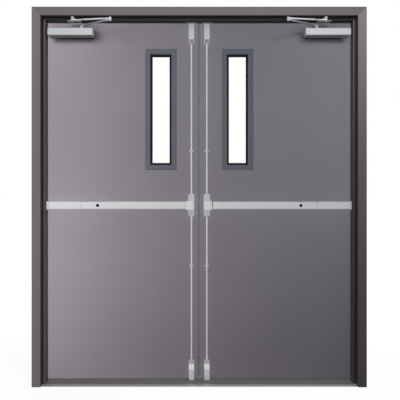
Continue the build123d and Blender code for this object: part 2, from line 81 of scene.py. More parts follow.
def pick(obj, wanted, kind="FACE"):
    """Goes into edit mode and selects the faces or edges that wanted(middle in mm, direction) names.

    The direction is a face's normal or the way that an edge runs."""
    select_only(obj)
    bpy.ops.object.mode_set(mode="EDIT")
    bpy.ops.mesh.select_mode(type=kind)
    bpy.ops.mesh.select_all(action="DESELECT")
    shape = bmesh.from_edit_mesh(obj.data)
    if kind == "FACE":
        for face in shape.faces:
            face.select_set(bool(wanted(face.calc_center_median() / MM, face.normal)))
    else:
        for edge in shape.edges:
            start, end = (corner.co for corner in edge.verts)
            edge.select_set(bool(wanted((start + end) / 2 / MM, (end - start).normalized())))
    bmesh.update_edit_mesh(obj.data)


def facing(axis, side):
    """Names the faces that look along an axis, towards side (-1 or 1)."""
    return lambda middle, normal: normal[axis] * side > STRAIGHT


def along(axis, where):
    """Names the edges that run along an axis and whose middle is where where(middle) says."""
    return lambda middle, way: abs(way[axis]) > STRAIGHT and where(middle)


def leave_edit():
    bpy.ops.object.mode_set(mode="OBJECT")


def block(low, high):
    """A box between two corners, as the start of a piece."""
    middle = [(a + b) / 2 * MM for a, b in zip(low, high)]
    bpy.ops.mesh.primitive_cube_add(size=1, location=middle)
    obj = bpy.context.object
    obj.scale = [(b - a) * MM for a, b in zip(low, high)]
    bpy.ops.object.transform_apply(location=True, rotation=True, scale=True)
    return obj


def turned(start, end, radius, sides=40, end_radius=None):
    """A round bar or cone between two points, or a nut with few sides."""
    start, end = Vector(start) * MM, Vector(end) * MM
    way = end - start
    bpy.ops.mesh.primitive_cone_add(
        vertices=sides,
        radius1=radius * MM,
        radius2=(radius if end_radius is None else end_radius) * MM,
        depth=way.length,
        location=(start + end) / 2,
        rotation=way.to_track_quat("Z", "Y").to_euler(),
    )
    bpy.ops.object.transform_apply(location=True, rotation=True, scale=True)
    return bpy.context.object


def soften(obj, width, segments=2, angle=30):
    """Rounds every edge sharper than the angle."""
    select_only(obj)
    bevel = obj.modifiers.new("edges", "BEVEL")
    bevel.width = width * MM
    bevel.segments = segments
    bevel.limit_method = "ANGLE"
    bevel.angle_limit = radians(angle)
    bevel.use_clamp_overlap = True
    bpy.ops.object.modifier_apply(modifier="edges")
    return obj


def round_edges(obj, wanted, width, segments=4, profile=0.5):
    """Rounds only the edges that wanted(middle, way) names."""
    pick(obj, wanted, "EDGE")
    bpy.ops.mesh.bevel(offset=width * MM, segments=segments, profile=profile, affect="EDGES")
    leave_edit()
    return obj


def set_back(obj, wanted, depth, kind="EDGE"):
    """Moves the edges or faces that wanted names back from the viewer, so that the front slants."""
    pick(obj, wanted, kind)
    bpy.ops.transform.translate(value=(0, depth * MM, 0))
    leave_edit()


def lengthen(obj, side, length, narrowing=None):
    """Extrudes a piece's upper (side 1) or lower (side -1) end, and may narrow the new end."""
    pick(obj, facing(Z, side))
    bpy.ops.mesh.extrude_region_move(TRANSFORM_OT_translate={"value": (0, 0, side * length * MM)})
    if narrowing:
        bpy.ops.transform.resize(value=narrowing)
    leave_edit()


def hollow(obj, side, rim, depth):
    """Sinks a piece's front (side -1) or back (side 1) inside a rim."""
    pick(obj, facing(Y, side))
    bpy.ops.mesh.inset(thickness=rim * MM)
    bpy.ops.mesh.extrude_region_move(TRANSFORM_OT_translate={"value": (0, -side * depth * MM, 0)})
    leave_edit()


def cut(obj, *tools):
    """Takes the tools' shapes out of a piece."""
    for tool in tools:
        select_only(obj)
        taken = obj.modifiers.new("cut", "BOOLEAN")
        taken.operation = "DIFFERENCE"
        taken.solver = "EXACT"
        taken.object = tool
        bpy.ops.object.modifier_apply(modifier="cut")
        bpy.data.objects.remove(tool)
    return obj


def joined(*parts):
    """Several meshes as one piece."""
    select_only(parts[0])
    for part in parts:
        part.select_set(True)
    bpy.ops.object.join()
    return bpy.context.object


def from_cad(node, edge):
    """A copy of a CAD node's shape, with its facets merged and its edges rounded."""
    same_place, same_plane = 0.02 * MM, radians(0.5)
    obj = bpy.data.objects.new(node, frame["nodes"][node].data.copy())
    bpy.context.scene.collection.objects.link(obj)
    select_only(obj)
    obj.data.materials.clear()
    bpy.ops.mesh.customdata_custom_splitnormals_clear()
    bpy.ops.object.mode_set(mode="EDIT")
    bpy.ops.mesh.select_all(action="SELECT")
    bpy.ops.mesh.remove_doubles(threshold=same_place)
    bpy.ops.mesh.dissolve_limited(angle_limit=same_plane)
    leave_edit()
    return soften(obj, edge)


def mirrored(obj, name):
    """A copy of a right-hand piece for the left leaf, turned the right way out again."""
    same_place = 0.005 * MM
    select_only(obj)
    bpy.ops.object.duplicate()
    twin = bpy.context.object
    twin.name = name
    twin.data.transform(Matrix.Scale(-1, 4, (1, 0, 0)))
    bpy.ops.object.mode_set(mode="EDIT")
    bpy.ops.mesh.select_all(action="SELECT")
    bpy.ops.mesh.remove_doubles(threshold=same_place)
    bpy.ops.mesh.normals_make_consistent(inside=False)
    leave_edit()
    return twin


def settle(obj, body, material, nodes):
    """Gives a finished piece its material and its body, and hides the CAD nodes that it stands for."""
    widest_smooth_edge = radians(35)
    select_only(obj)
    bpy.ops.object.shade_smooth_by_angle(angle=widest_smooth_edge)
    even = obj.modifiers.new("even", "WEIGHTED_NORMAL")
    even.keep_sharp = True
    bpy.ops.object.modifier_apply(modifier="even")
    obj.data.materials.clear()
    obj.data.materials.append(material)
    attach(obj, body)
    if nodes:
        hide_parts(*nodes)


def settle_pair(obj, name, body, material, nodes=()):
    """Settles a right-hand piece and its mirror image on the same body of either leaf."""
    obj.name = f"right_{name}"
    twin = mirrored(obj, f"left_{name}")
    for piece, side in ((obj, "right"), (twin, "left")):
        settle(piece, f"{side}_{body}", material, [f"{side}_{node}" for node in nodes])


def settle_on_frame(obj, name, material, nodes=()):
    """Settles one piece on the frame."""
    obj.name = name
    settle(obj, "frame", material, nodes)


# Materials

# How fine each noise pattern is, in steps per metre
CLOUDS = 1.3
SHEET_WAVES = 2.2
GLASS_WAVES = 6
UNEVEN_GLOSS = 14
SMUDGES = 30
DUST = 60
WORN_GLOSS = 200
GRAIN_TONE = 260
SPRAY_PEEL = 420
GRAIN_RELIEF = 700
PORES = 1200
PITS = 1500

# How much a grain is stretched, along a piece that lies or stands
LYING, STANDING, NO_GRAIN = (0.02, 1, 1), (1, 1, 0.02), (1, 1, 1)
SADDLE_GRAIN, ROD_GRAIN, HINGE_GRAIN = (0.01, 1, 1), (1, 1, 0.5), (1, 1, 0.05)

# Zone of the leaf skins where the closers' shadow is painted, and the half width of the threshold's level
# top, which is painted darker as shade
SHADE_MIDDLE_Z, SHADE_HALF_HEIGHT = 2012, 34
SHADE_INNER_X, SHADE_OUTER_X = 450, 850
LEVEL_TOP_HALF = 43.5


def screen(red, green, blue):
    """A colour as read off a screen, in the linear values that the shader takes."""
    return tuple((((c / 255) + 0.055) / 1.055) ** 2.4 for c in (red, green, blue)) + (1.0,)


class Finish:
    """A procedural material around one principled shader."""

    def __init__(self, name):
        self.material = bpy.data.materials.new(name)
        self.material.use_nodes = True
        self.nodes = self.material.node_tree.nodes
        self.links = self.material.node_tree.links
        self.shader = self.nodes["Principled BSDF"]
        coordinates = self.nodes.new("ShaderNodeTexCoord")
        self.place = coordinates.outputs["Object"]
        self.normal = coordinates.outputs["Normal"]

    def set(self, **values):
        for key, value in values.items():
            self.shader.inputs[key.replace("_", " ")].default_value = value

    def noise(self, scale, detail, stretch=(1, 1, 1)):
        mapping = self.nodes.new("ShaderNodeMapping")
        mapping.inputs["Scale"].default_value = stretch
        noise = self.nodes.new("ShaderNodeTexNoise")
        noise.inputs["Scale"].default_value = scale
        noise.inputs["Detail"].default_value = detail
        self.links.new(self.place, mapping.inputs["Vector"])
        self.links.new(mapping.outputs["Vector"], noise.inputs["Vector"])
        return noise.outputs["Fac"]

    def ranged(self, value, low, high, start=0.3, end=0.7):
        """Turns the range from start to end into the range from low to high."""
        node = self.nodes.new("ShaderNodeMapRange")
        for key, number in zip(("From Min", "From Max", "To Min", "To Max"), (start, end, low, high)):
            node.inputs[key].default_value = number
        self.links.new(value, node.inputs["Value"])
        return node.outputs["Result"]

    def blend(self, factor, first, second):
        """The first colour where the factor is 0, the second where it is 1."""
        node = self.nodes.new("ShaderNodeMix")
        node.data_type = "RGBA"
        self.links.new(factor, node.inputs["Factor"])
        first_colour, second_colour = node.inputs[6], node.inputs[7]
        for socket, colour in ((first_colour, first), (second_colour, second)):
            if isinstance(colour, tuple):
                socket.default_value = colour
            else:
                self.links.new(colour, socket)
        mixed_colour = node.outputs[2]
        return mixed_colour

    def arithmetic(self, operation, *values):
        node = self.nodes.new("ShaderNodeMath")
        node.operation = operation
        for socket, value in zip(node.inputs, values):
            if isinstance(value, (int, float)):
                socket.default_value = value
            else:
                self.links.new(value, socket)
        return node.outputs[0]

    def openness(self, reach, own_shape, near):
        """0 in corners and next to faces within reach (in mm), 1 where the surface lies free."""
        corner_shade = self.nodes.new("ShaderNodeAmbientOcclusion")
        corner_shade.samples = 8
        corner_shade.only_local = own_shape
        corner_shade.inputs["Distance"].default_value = reach * MM
        return self.ranged(corner_shade.outputs["AO"], 0, 1, near, 0.9)

    def outside(self, axis, middle, half, spread=2.0):
        """0 within half (in mm) of a middle place along an axis, 1 outside of it."""
        axes = self.nodes.new("ShaderNodeSeparateXYZ")
        self.links.new(self.place, axes.inputs["Vector"])
        off = self.arithmetic("SUBTRACT", axes.outputs[axis], middle * MM)
        distance = self.arithmetic("ABSOLUTE", off)
        return self.ranged(distance, 0, 1, (half - spread) * MM, (half + spread) * MM)

    def not_underside(self):
        """0 on faces that look straight down, 1 on all others."""
        axes = self.nodes.new("ShaderNodeSeparateXYZ")
        self.links.new(self.normal, axes.inputs["Vector"])
        return self.ranged(axes.outputs["Z"], 0, 1, -0.9, -0.5)

    def relief(self, *layers):
        """Bump from several layers of (pattern, strength, height in mm)."""
        normal = None
        for pattern, strength, height in layers:
            bump = self.nodes.new("ShaderNodeBump")
            bump.inputs["Strength"].default_value = strength
            bump.inputs["Distance"].default_value = height * MM
            self.links.new(pattern, bump.inputs["Height"])
            if normal:
                self.links.new(normal, bump.inputs["Normal"])
            normal = bump.outputs["Normal"]
        self.links.new(normal, self.shader.inputs["Normal"])

    def colour(self, output):
        self.links.new(output, self.shader.inputs["Base Color"])

    def gloss(self, pattern, roughness, change):
        """Roughness that wanders by a small change either way."""
        output = self.ranged(pattern, roughness - change, roughness + change)
        self.links.new(output, self.shader.inputs["Roughness"])


def shade_under_closers(finish, tone):
    """Paints the closers' shadow on a leaf skin: a darker tone next to the closer bodies."""
    above_or_below = finish.outside("Z", SHADE_MIDDLE_Z, SHADE_HALF_HEIGHT, 4)
    beside_jamb = finish.outside("X", 0, SHADE_OUTER_X, 12)
    between = finish.arithmetic("SUBTRACT", 1.0, finish.outside("X", 0, SHADE_INNER_X, 20))
    elsewhere = finish.arithmetic("MAXIMUM", above_or_below, beside_jamb)
    elsewhere = finish.arithmetic("MAXIMUM", elsewhere, between)
    light_part = finish.arithmetic("MAXIMUM", finish.openness(50, False, 0.5), elsewhere)
    # the dark colour is the painted shadow
    return finish.blend(light_part, screen(46, 44, 46), tone)


def shade_in_rabbets(finish, tone):
    """Paints shade on the frame: a darker tone on its undersides and in the corners of its rabbets."""
    # painted shade on faces that look down, then painted shade in the rabbet corners
    tone = finish.blend(finish.not_underside(), screen(64, 60, 62), tone)
    return finish.blend(finish.openness(120, True, 0.4), screen(32, 29, 30), tone)


def enamel(name, light, dark, roughness, specular, shade=None):
    """Sprayed satin enamel on sheet steel: a fine peel, soft clouds of tone and uneven gloss."""
    finish = Finish(name)
    tone = finish.blend(finish.ranged(finish.noise(CLOUDS, 3.0), 0, 1), dark, light)
    finish.colour(shade(finish, tone) if shade else tone)
    finish.gloss(finish.noise(UNEVEN_GLOSS, 4.0), roughness, 0.05)
    finish.relief((finish.noise(SHEET_WAVES, 1.0), 0.25, 0.6), (finish.noise(SPRAY_PEEL, 2.0), 0.10, 0.05))
    finish.set(Specular_IOR_Level=specular, Metallic=0.0)
    return finish.material


def satin(name, light, dark, roughness, metallic, grain, specular=0.5, shaded_top=None):
    """Satin aluminium paint or metal with a fine grain, which may have a darker tone painted on its level
    top as shade.
    """
    finish = Finish(name)
    tone = finish.blend(finish.ranged(finish.noise(GRAIN_TONE, 3.0, grain), 0, 1), dark, light)
    if shaded_top:
        # painted shade on the level top, which lies under the leaves
        tone = finish.blend(finish.outside("Y", 0, LEVEL_TOP_HALF), shaded_top, tone)
    finish.colour(tone)
    finish.gloss(finish.noise(SMUDGES, 3.0), roughness, 0.06)
    finish.relief((finish.noise(GRAIN_RELIEF, 2.0, grain), 0.12, 0.04),
                  (finish.noise(PITS, 1.0), 0.06, 0.02))
    finish.set(Metallic=metallic, Specular_IOR_Level=specular)
    return finish.material


def rubber(name, colour, roughness, specular=0.3):
    """Matt rubber, slightly paler where dust lies on it."""
    finish = Finish(name)
    dusty = tuple(c * 1.25 + 0.004 for c in colour[:3]) + (1.0,)
    finish.colour(finish.blend(finish.ranged(finish.noise(DUST, 3.0), 0, 1), colour, dusty))
    finish.gloss(finish.noise(WORN_GLOSS, 2.0), roughness, 0.08)
    finish.relief((finish.noise(PORES, 3.0), 0.3, 0.05))
    finish.set(Specular_IOR_Level=specular)
    return finish.material


def clear_glass(name):
    """Clear safety glass with the faint waviness of rolled sheet."""
    finish = Finish(name)
    finish.set(Base_Color=(1.0, 1.0, 1.0, 1.0), Transmission_Weight=1.0, IOR=1.45, Roughness=0.0)
    finish.relief((finish.noise(GLASS_WAVES, 1.0), 0.02, 0.1))
    return finish.material


leaf_enamel = enamel("leaf_enamel", screen(151, 145, 151), screen(146, 140, 146), 0.42, 0.12,
                     shade_under_closers)
frame_enamel = enamel("frame_enamel", screen(121, 114, 118), screen(117, 110, 114), 0.5, 0.1,
                      shade_in_rabbets)
lite_enamel = enamel("lite_enamel", screen(113, 116, 124), screen(108, 111, 119), 0.45, 0.15)

silver_long = satin("silver_long", screen(216, 218, 220), screen(210, 212, 214), 0.42, 0.3, LYING)
silver_body = satin("silver_body", screen(198, 199, 201), screen(192, 193, 195), 0.45, 0.08, LYING, 0.2)
silver_upright = satin("silver_upright", screen(219, 220, 223), screen(213, 214, 217), 0.4, 0.2, STANDING)
# A brighter copy of the silver for the centre heads: painted sheen where light falls on them
silver_head = satin("silver_head", screen(226, 227, 229), screen(221, 222, 224), 0.38, 0.2, STANDING)
silver_case = satin("silver_case", screen(198, 200, 203), screen(192, 194, 197), 0.42, 0.2, STANDING)
# A paler copy of the silver for the latch shoulders: painted highlight
silver_bright = satin("silver_bright", screen(248, 248, 250), screen(243, 244, 246), 0.34, 0.2, STANDING)
silver_fine = satin("silver_fine", screen(204, 205, 207), screen(196, 197, 200), 0.42, 0.25, NO_GRAIN)
# A darker copy of the silver for the brackets: painted shade on their undersides
silver_shaded = satin("silver_shaded", screen(174, 172, 174), screen(166, 164, 166), 0.5, 0.05, NO_GRAIN,
                      0.2)

zinc = satin("zinc", screen(232, 234, 237), screen(224, 226, 230), 0.36, 0.3, ROD_GRAIN)
# Darker zincs for the latch plates: painted shade, deeper on the top plates, which face down
dull_zinc = satin("dull_zinc", screen(165, 162, 163), screen(155, 152, 153), 0.6, 0.1, NO_GRAIN)
pale_zinc = satin("pale_zinc", screen(192, 190, 189), screen(184, 182, 181), 0.5, 0.2, NO_GRAIN)
plain_steel = satin("plain_steel", screen(178, 177, 176), screen(158, 157, 157), 0.36, 0.8, HINGE_GRAIN)
# The threshold's level top takes a darker tone as painted shade
mill_aluminium = satin("mill_aluminium", screen(217, 217, 214), screen(205, 205, 203), 0.42, 0.3,
                       SADDLE_GRAIN, shaded_top=screen(152, 151, 152))

black_rubber = rubber("black_rubber", screen(15, 15, 15), 0.8)
# Near-black for holes: painted shade in the dogging holes and the bolt holes
soot_black = rubber("soot_black", screen(9, 9, 9), 0.85, 0.05)
grey_rubber = rubber("grey_rubber", screen(128, 124, 128), 0.8)
glass = clear_glass("clear_glass")

# CAD nodes that keep their own shape
CARRIED = {
    "left_jamb": frame_enamel,
    "right_jamb": frame_enamel,
    "frame_head": frame_enamel,
    "wall_anchors": zinc,
    "floor_anchors": zinc,
    "left_lite_glass": glass,
    "right_lite_glass": glass,
}
for node, obj in frame["nodes"].items():
    obj.data.materials.clear()
    obj.data.materials.append(CARRIED.get(node, silver_fine))


# Places and sizes of the right leaf's pieces, most of them from the CAD nodes

leaf_low, leaf_high = corners("right_leaf")
LEAF_INNER_X, PUSH_Y, LEAF_BOTTOM_Z = leaf_low
LEAF_TOP_Z = leaf_high[Z]

rail_low, rail_high = corners("right_exit_rail")
CHANNEL_START_X, RAIL_FRONT_Y = rail_low[X], rail_low[Y]
CAP_END_X, CAP_LENGTH = rail_high[X], 14.3
CAP_HALF_HEIGHT = (rail_high[Z] - rail_low[Z]) / 2
COVER_HALF_HEIGHT, CHANNEL_HALF_HEIGHT = CAP_HALF_HEIGHT - 1, 19
BAR_Z = middle_of(rail_low, rail_high, Z)

pad_low, pad_high = corners("right_push_pad")
PAD_HALF_HEIGHT = (pad_high[Z] - pad_low[Z]) / 2
PAD_BACK_Y = PUSH_Y - 33.5
PAD_POSTS_X = (189.5, 578.6)
PAD_POST_HALF = 5
COVER_START_X = pad_high[X] + 1
COVER_END_X = CAP_END_X - CAP_LENGTH
RAIL_ROUNDING = 6.5
DOGGING_X = 593.6
DOGGING_HOLE_RADIUS, DOGGING_CUP_RADIUS, DOGGING_KEY_RADIUS = 9.0, 10.4, 2.8

top_rod_low, top_rod_high = corners("right_top_rod")
bottom_rod_low, bottom_rod_high = corners("right_bottom_rod")
ROD_X, ROD_Y = middle_of(top_rod_low, top_rod_high, X), middle_of(top_rod_low, top_rod_high, Y)
ROD_RADIUS = 4.75
BOLT_HALF, BOLT_LENGTH = 6, 60
NUT_RADIUS, NUT_HEIGHT, NUT_TO_BOLT = 7.2, 6, 84

case_low, case_high = corners("right_centre_case")
CASE_WIDTH, CASE_END_WIDTH = 2 * (ROD_X - case_low[X]), 34.8
HOUSING_FRONT_Y = PUSH_Y - 37
HEAD_START_X, HEAD_HALF_HEIGHT = 28.2, 26.0
HEAD_ROUNDING = 21

top_latch_low, top_latch_high = corners("right_top_latch_case")
bottom_latch_low, _ = corners("right_bottom_latch_case")
LATCH_FRONT_Y = top_latch_low[Y]
LATCH_FACE_LENGTH = 63
LATCH_PLATE_HALF, LATCH_SHOULDER_HALF = 14, 15.4
# Steps of (length, set back) in which a latch case's front slants towards its tail
TOP_LATCH_STEPS = ((30, 1.6), (24, 6.0))
BOTTOM_LATCH_STEPS = ((33, 7.6), (21, 0.4))

closer_low, closer_high = corners("right_closer_body")
CLOSER_HEIGHT = 42
CLOSER_END_THICKNESS = 3
SPINDLE, PIVOT = pin_of("right_main_arm_pivot"), pin_of("right_forearm_pivot")
ELBOW = (507.0, -106.025)
HUB_LOW_Z, HUB_HIGH_Z, HUB_RADIUS = 2084.5, 2103.5, 10.6
EYE_LOW_Z, EYE_HIGH_Z, EYE_RADIUS = 2101.5, 2107.5, 8.5
ROD_END_LOW_Z, ROD_END_HIGH_Z, ROD_END_RADIUS = 2110.0, 2118.0, 10.5
ELBOW_CAP_LOW_Z, ELBOW_CAP_HIGH_Z = 2108.5, 2119.0


def screw(x, y, z, way, radius=3.6, height=1.6):
    """A pan-head screw with a crossed recess. Its head rises from y towards way (-1 or 1) along Y."""
    margin = 0.6
    arm_length, arm_width = radius * 0.55, radius * 0.16
    head = turned((x, y, z), (x, y + way * height, z), radius, 24, radius * 0.72)
    soften(head, 0.35, 2, 40)
    recess_y = y + 0.4 * height if way > 0 else y - height
    for reach_x, reach_z in ((arm_width, arm_length), (arm_length, arm_width)):
        cut(head, block((x - reach_x, recess_y - margin, z - reach_z),
                        (x + reach_x, recess_y + height + margin, z + reach_z)))
    return head


def make_leaf_skins():
    skin = from_cad("right_leaf", 1.0)
    settle_pair(skin, "leaf_skin", "leaf", leaf_enamel, ["leaf"])


def make_meeting_seals():
    """Rubber on each meeting edge: a strip in the joint, and a lip behind it that reaches lower."""
    strip_x, lip_x = 1.3, 0.05
    strip = block((strip_x, PUSH_Y + 1.2, LEAF_BOTTOM_Z), (LEAF_INNER_X + 0.6, PUSH_Y + 12, LEAF_TOP_Z))
    round_edges(strip, along(Z, lambda m: m.x < strip_x + 0.2), 0.8, 3)
    lip = block((lip_x, 44, LEAF_BOTTOM_Z - 4.6), (LEAF_INNER_X + 0.4, 70, LEAF_TOP_Z - 1))
    round_edges(lip, along(Z, lambda m: m.x < lip_x + 0.45), 1.2)
    settle_pair(joined(strip, lip), "meeting_seal", "leaf", grey_rubber)


def make_vision_lites():
    """Frame, back frame with its screws, and glazing seal of the vision lites."""
    screws_in_row, from_side, from_end = 4, 15, 60
    trim = from_cad("right_lite_frame", 0.6)
    settle_pair(trim, "lite_trim", "leaf", lite_enamel, ["lite_frame"])
    back_trim = from_cad("right_lite_frame_back", 0.6)
    low, high = corners("right_lite_frame_back")
    spacing = (high[Z] - low[Z] - 2 * from_end) / (screws_in_row - 1)
    screws = [screw(x, high[Y] - 0.2, low[Z] + from_end + n * spacing, 1)
              for x in (low[X] + from_side, high[X] - from_side) for n in range(screws_in_row)]
    settle_pair(joined(*screws), "lite_screws", "leaf", zinc)
    settle_pair(back_trim, "lite_trim_back", "leaf", lite_enamel, ["lite_frame_back"])
    gasket = from_cad("right_glazing_seal", 0.5)
    settle_pair(gasket, "glazing_gasket", "leaf", black_rubber, ["glazing_seal"])


def on_rail_front(m):
    return m.y < RAIL_FRONT_Y + 1


def make_rail_covers():
    """The fixed part of the exit device's rail, beside the pad."""
    cover = block((COVER_START_X, RAIL_FRONT_Y, BAR_Z - COVER_HALF_HEIGHT),
                  (COVER_END_X - 0.6, PUSH_Y, BAR_Z + COVER_HALF_HEIGHT))
    round_edges(cover, along(X, on_rail_front), RAIL_ROUNDING, 6)
    soften(cover, 0.5)
    settle_pair(cover, "rail_cover", "leaf", silver_long, ["exit_rail"])


def make_end_caps():
    """The cap on each rail's outer end, with its two screws."""
    screw_x, screw_rise = COVER_END_X + 7.5, 12
    cap = block((COVER_END_X, RAIL_FRONT_Y, BAR_Z - CAP_HALF_HEIGHT),
                (CAP_END_X, PUSH_Y, BAR_Z + CAP_HALF_HEIGHT))
    round_edges(cap, lambda m, way: on_rail_front(m) and m.x > CAP_END_X - 1, 6, 5)
    soften(cap, 0.9, 3)
    settle_pair(cap, "end_cap", "leaf", silver_fine)
    screws = [screw(screw_x, RAIL_FRONT_Y + 0.1, BAR_Z + side * screw_rise, -1, radius=2.4, height=0.8)
              for side in (-1, 1)]
    settle_pair(joined(*screws), "cap_screws", "leaf", zinc)


def make_rail_channels():
    """The open channel that the push pad sinks into."""
    channel = block((CHANNEL_START_X, PUSH_Y - 28, BAR_Z - CHANNEL_HALF_HEIGHT),
                    (COVER_START_X, PUSH_Y, BAR_Z + CHANNEL_HALF_HEIGHT))
    hollow(channel, -1, 2, 10)
    soften(channel, 0.3)
    settle_pair(channel, "rail_channel", "leaf", silver_long)


def make_push_pads():
    """Hollow push pads with the hole of the dogging screw and two posts."""
    pad = block((pad_low[X], RAIL_FRONT_Y, BAR_Z - PAD_HALF_HEIGHT),
                (pad_high[X], PAD_BACK_Y, BAR_Z + PAD_HALF_HEIGHT))
    round_edges(pad, along(X, on_rail_front), RAIL_ROUNDING, 6)
    hollow(pad, 1, 3, 22)
    soften(pad, 0.5)
    cut(pad, turned((DOGGING_X, RAIL_FRONT_Y - 5, BAR_Z), (DOGGING_X, RAIL_FRONT_Y + 12, BAR_Z),
                    DOGGING_HOLE_RADIUS))
    posts = [block((x - PAD_POST_HALF, RAIL_FRONT_Y + 4, BAR_Z - PAD_POST_HALF),
                   (x + PAD_POST_HALF, pad_high[Y], BAR_Z + PAD_POST_HALF)) for x in PAD_POSTS_X]
    settle_pair(joined(pad, *posts), "pad", "push_pad", silver_long, ["push_pad"])


def make_dogging_cups():
    """The dark cup behind the dogging hole, with its six-sided key hole; its black is painted shade of the
    hole.
    """
    cup = turned((DOGGING_X, RAIL_FRONT_Y + 1, BAR_Z), (DOGGING_X, RAIL_FRONT_Y + 9, BAR_Z),
                 DOGGING_CUP_RADIUS)
    hollow(cup, -1, 2.2, 4)
    soften(cup, 0.3)
    cut(cup, turned((DOGGING_X, RAIL_FRONT_Y - 2, BAR_Z), (DOGGING_X, RAIL_FRONT_Y + 8, BAR_Z),
                    DOGGING_KEY_RADIUS, 6))
    settle_pair(cup, "dogging_cup", "push_pad", soot_black)


def make_centre_housings():
    """Tapered housing of the rods, with slanting ends and rounded corners."""
    upper_slant, lower_slant = 8, 12
    beyond_head = 60
    front_limit = HOUSING_FRONT_Y + lower_slant + 0.5
    half_width = CASE_WIDTH / 2
    end_length = (case_high[Z] - case_low[Z]) / 2 - HEAD_HALF_HEIGHT
    housing = block((ROD_X - half_width, HOUSING_FRONT_Y, BAR_Z - HEAD_HALF_HEIGHT),
                    (ROD_X + half_width, PUSH_Y, BAR_Z + HEAD_HALF_HEIGHT))
    for side in (1, -1):
        lengthen(housing, side, end_length, (CASE_END_WIDTH / CASE_WIDTH, 1, 1))
    for side, slant in ((1, upper_slant), (-1, lower_slant)):
        front_end = along(X, lambda m: m.y < HOUSING_FRONT_Y + 0.1 and side * (m.z - BAR_Z) > beyond_head)
        set_back(housing, front_end, slant)
    round_edges(housing, along(Y, lambda m: abs(m.z - BAR_Z) > beyond_head), 7, 6)
    round_edges(housing, lambda m, way: m.y < front_limit and abs(way.y) < 0.4, 3)
    soften(housing, 0.5)
    for z in (case_low[Z], case_high[Z]):
        cut(housing, turned((ROD_X, ROD_Y, z - 30), (ROD_X, ROD_Y, z + 30), ROD_RADIUS + 0.6, 32))
    settle_pair(housing, "centre_housing", "leaf", silver_case, ["centre_case"])


def make_centre_heads():
    """The wide head that crosses the housing and takes the rail's end."""
    head = block((HEAD_START_X, case_low[Y], BAR_Z - HEAD_HALF_HEIGHT),
                 (case_high[X], PUSH_Y, BAR_Z + HEAD_HALF_HEIGHT))
    round_edges(head, along(Z, lambda m: m.y < case_low[Y] + 1), HEAD_ROUNDING, 12, 0.8)
    soften(head, 0.7, 2, 50)
    # the brighter silver on the heads is painted sheen
    settle_pair(head, "centre_head", "leaf", silver_head)


def make_rod_guides():
    guides = from_cad("right_rod_guides", 0.5)
    settle_pair(guides, "guides", "leaf", silver_fine, ["rod_guides"])


def upright_block(left_x, right_x, front_y, back_y, z, other_z):
    """A block between two heights, whichever of them is the lower one."""
    return block((left_x, front_y, min(z, other_z)), (right_x, back_y, max(z, other_z)))


def make_rods(end, way, start_z, tip_z):
    """Rods of one end, each with its bolt and nut. way is 1 for the top rods and -1 for the bottom ones."""
    bolt_z = tip_z - way * BOLT_LENGTH
    bolt = upright_block(ROD_X - BOLT_HALF, ROD_X + BOLT_HALF, ROD_Y - BOLT_HALF, ROD_Y + BOLT_HALF,
                         bolt_z, tip_z)
    slant = along(X, lambda m: abs(m.z - tip_z) < 0.1 and m.y < ROD_Y - BOLT_HALF + 1)
    round_edges(bolt, slant, 5, 1)
    soften(bolt, 0.5)
    bar = turned((ROD_X, ROD_Y, start_z), (ROD_X, ROD_Y, bolt_z + way * 0.5), ROD_RADIUS)
    soften(bar, 0.5)
    nut_z = bolt_z - way * NUT_TO_BOLT
    nut = turned((ROD_X, ROD_Y, nut_z), (ROD_X, ROD_Y, nut_z + way * NUT_HEIGHT), NUT_RADIUS, 6)
    soften(nut, 0.4)
    settle_pair(joined(bar, bolt, nut), f"{end}_bar", f"{end}_rod", zinc, [f"{end}_rod"])
    return bolt_z


def make_latches(end, way, end_z, bolt_z, steps):
    """Latch cases of one end, with room for the bolt and the rod."""
    half_width = (top_latch_high[X] - top_latch_low[X]) / 2
    bolt_room, rod_room = BOLT_HALF + 0.7, ROD_RADIUS + 0.55
    case = upright_block(ROD_X - half_width, ROD_X + half_width, LATCH_FRONT_Y, PUSH_Y,
                         end_z, end_z - way * LATCH_FACE_LENGTH)
    tail_z = end_z - way * LATCH_FACE_LENGTH
    for length, depth in steps:
        lengthen(case, -way, length)
        tail_z -= way * length
        set_back(case, along(X, lambda m: abs(m.z - tail_z) < 0.1 and m.y < ROD_Y), depth)
    soften(case, 1.0, 3, 6)
    cut(case,
        upright_block(ROD_X - bolt_room, ROD_X + bolt_room, ROD_Y - bolt_room, ROD_Y + bolt_room,
                      end_z + way * 5, bolt_z - way * 3),
        turned((ROD_X, ROD_Y, tail_z - way * 5), (ROD_X, ROD_Y, bolt_z), rod_room))
    settle_pair(case, f"{end}_latch", "leaf", silver_upright, [f"{end}_latch_case"])


def make_latch_plates(end, way, end_z, steps, material):
    """Plates on the slanting tails of the latch cases, darker than the cases: painted shade of the latch
    mouths.
    """
    (near_length, near_depth), (tail_length, tail_depth) = steps
    nose_z = end_z - way * (LATCH_FACE_LENGTH + near_length)
    tail_z = nose_z - way * tail_length
    front_y = LATCH_FRONT_Y + near_depth
    plate = upright_block(ROD_X - LATCH_PLATE_HALF, ROD_X + LATCH_PLATE_HALF, front_y - 0.6, front_y + 0.6,
                          nose_z - way, tail_z + way)
    set_back(plate, facing(Z, -way), tail_depth, "FACE")
    soften(plate, 0.4)
    settle_pair(plate, f"{end}_latch_plate", "leaf", material)


def make_latch_shoulders():
    """A thin plate on the slanting shoulder above the face of each bottom latch, pale as a painted highlight
    of the light on the slope.
    """
    margin, slant = 1, 7.2
    face_end_z = bottom_latch_low[Z] + LATCH_FACE_LENGTH
    low_z, high_z = face_end_z + margin, face_end_z + BOTTOM_LATCH_STEPS[0][0] - margin
    shoulder = block((ROD_X - LATCH_SHOULDER_HALF, LATCH_FRONT_Y - 0.3, low_z),
                     (ROD_X + LATCH_SHOULDER_HALF, LATCH_FRONT_Y + 0.7, high_z))
    set_back(shoulder, facing(Z, 1), slant, "FACE")
    soften(shoulder, 0.4)
    settle_pair(shoulder, "latch_shoulder", "leaf", silver_bright)


